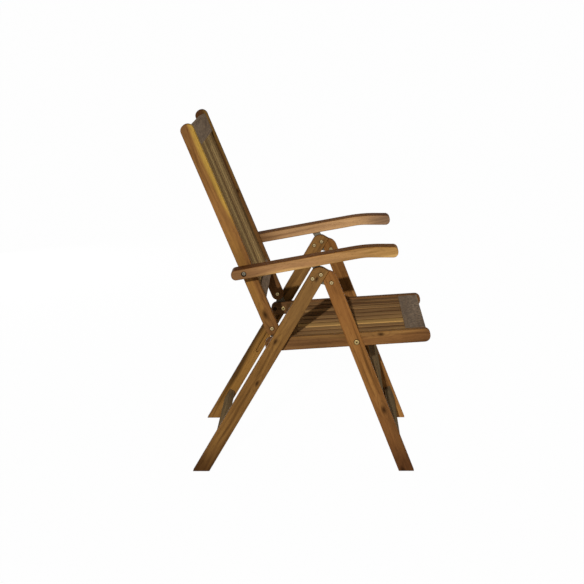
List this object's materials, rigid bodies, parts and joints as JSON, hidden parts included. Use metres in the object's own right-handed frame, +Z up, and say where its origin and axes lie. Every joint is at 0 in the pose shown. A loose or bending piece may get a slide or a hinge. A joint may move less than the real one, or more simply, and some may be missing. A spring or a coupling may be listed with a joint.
{
  "type": "folding garden armchair",
  "caption": "Slatted hardwood garden armchair with a high reclining back and notched arms; hinged legs let it fold flat.",
  "frame": {"origin": "on the floor, under the middle of the chair's overall box", "axes": "+Z up, the chair faces -Y, X from side to side with the sitter's left at +X"},
  "size_m": [0.6, 0.7318, 1.0528],
  "materials": {
    "frame_timber": "oiled hardwood, brown heart with yellow sapwood",
    "board_timber": "oiled hardwood, grey-brown",
    "slat_timber": "oiled hardwood, olive-brown",
    "zinc_plate": "dull zinc plate",
    "yellow_zinc": "yellow zinc plate",
    "nylon": "dark nylon"
  },
  "bodies": {
    "rear_legs": {"rear_leg_left": "frame_timber", "rear_leg_right": "frame_timber", "rear_stretcher": "board_timber", "leg_hinge_plate_left": "zinc_plate", "leg_hinge_plate_right": "zinc_plate", "leg_plate_bolts": "yellow_zinc", "arm_catch_pins": "yellow_zinc"},
    "front_legs": {"front_leg_left": "frame_timber", "front_leg_right": "frame_timber", "front_upper_stretcher": "board_timber", "front_lower_stretcher": "board_timber", "leg_hinge_bolts": "yellow_zinc", "seat_pivot_bolts": "yellow_zinc", "seat_pivot_nuts": "yellow_zinc", "seat_pivot_washers": "yellow_zinc"},
    "seat": {"seat_rail_left": "frame_timber", "seat_rail_right": "frame_timber", "seat_front_board": "board_timber", "seat_rear_board": "board_timber", "seat_slat_1": "slat_timber", "seat_slat_2": "slat_timber", "seat_slat_3": "slat_timber", "seat_slat_4": "slat_timber", "seat_slat_5": "slat_timber", "seat_slat_6": "slat_timber", "seat_slat_7": "slat_timber", "seat_slat_8": "slat_timber", "seat_slat_9": "slat_timber", "back_hinge_plate_left": "zinc_plate", "back_hinge_plate_right": "zinc_plate", "seat_slide_pins": "yellow_zinc", "back_plate_bolts": "yellow_zinc"},
    "back_pivot": {"back_hinge_bolts": "yellow_zinc"},
    "back": {"back_stile_left": "frame_timber", "back_stile_right": "frame_timber", "back_top_rail": "board_timber", "back_bottom_rail": "board_timber", "back_slat_1": "slat_timber", "back_slat_2": "slat_timber", "back_slat_3": "slat_timber", "back_slat_4": "slat_timber", "back_slat_5": "slat_timber", "back_slat_6": "slat_timber", "back_slat_7": "slat_timber", "back_slat_8": "slat_timber", "back_slat_9": "slat_timber"},
    "arm_bolt_left": {"arm_bolt_left": "yellow_zinc", "arm_nut_left": "yellow_zinc"},
    "arm_bush_left": {"arm_bush_left": "nylon"},
    "arm_left": {"armrest_left": "frame_timber", "arm_rack_left": "zinc_plate", "arm_rack_screws_left": "zinc_plate"},
    "arm_bolt_right": {"arm_bolt_right": "yellow_zinc", "arm_nut_right": "yellow_zinc"},
    "arm_bush_right": {"arm_bush_right": "nylon"},
    "arm_right": {"armrest_right": "frame_timber", "arm_rack_right": "zinc_plate", "arm_rack_screws_right": "zinc_plate"}
  },
  "joints": [
    {"name": "fold", "type": "hinge", "parent": "rear_legs", "child": "front_legs", "pos_m": [0, -0.07043, 0.5865], "axis": [1, 0, 0], "range_deg": [0, 51.6]},
    {"name": "seat_fold", "type": "hinge", "parent": "front_legs", "child": "seat", "pos_m": [0, -0.14466, 0.40569], "axis": [-1, 0, 0], "range_deg": [-0.5, 97.61]},
    {"name": "back_fold", "type": "hinge", "parent": "seat", "child": "back_pivot", "pos_m": [0, 0.10789, 0.44065], "axis": [1, 0, 0], "range_deg": [-0.5, 99.97]},
    {"name": "recline", "type": "hinge", "parent": "back_pivot", "child": "back", "pos_m": [0, 0.10789, 0.44065], "axis": [-1, 0, 0], "range_deg": [0, 32]},
    {"name": "arm_fold_left", "type": "hinge", "parent": "back", "child": "arm_bolt_left", "pos_m": [0, 0.18591, 0.61999], "axis": [-1, 0, 0], "range_deg": [-0.5, 106.02]},
    {"name": "arm_follow_left", "type": "hinge", "parent": "arm_bolt_left", "child": "arm_bush_left", "pos_m": [0, 0.18591, 0.61999], "axis": [1, 0, 0], "range_deg": [-0.5, 22.44]},
    {"name": "arm_lift_left", "type": "hinge", "parent": "arm_bush_left", "child": "arm_left", "pos_m": [0, 0.18591, 0.61999], "axis": [-1, 0, 0], "range_deg": [0, 15]},
    {"name": "arm_fold_right", "type": "hinge", "parent": "back", "child": "arm_bolt_right", "pos_m": [0, 0.18591, 0.61999], "axis": [-1, 0, 0], "range_deg": [-0.5, 106.02]},
    {"name": "arm_follow_right", "type": "hinge", "parent": "arm_bolt_right", "child": "arm_bush_right", "pos_m": [0, 0.18591, 0.61999], "axis": [1, 0, 0], "range_deg": [-0.5, 22.44]},
    {"name": "arm_lift_right", "type": "hinge", "parent": "arm_bush_right", "child": "arm_right", "pos_m": [0, 0.18591, 0.61999], "axis": [-1, 0, 0], "range_deg": [0, 15]}
  ],
  "couplings": [
    {"joint": "seat_fold", "follows": "fold", "ratio": 1.8819},
    {"joint": "back_fold", "follows": "fold", "ratio": 1.9277},
    {"joint": "arm_fold_left", "follows": "fold", "ratio": 2.045},
    {"joint": "arm_follow_left", "follows": "recline", "ratio": 0.68564},
    {"joint": "arm_fold_right", "follows": "fold", "ratio": 2.045},
    {"joint": "arm_follow_right", "follows": "recline", "ratio": 0.68564}
  ]
}
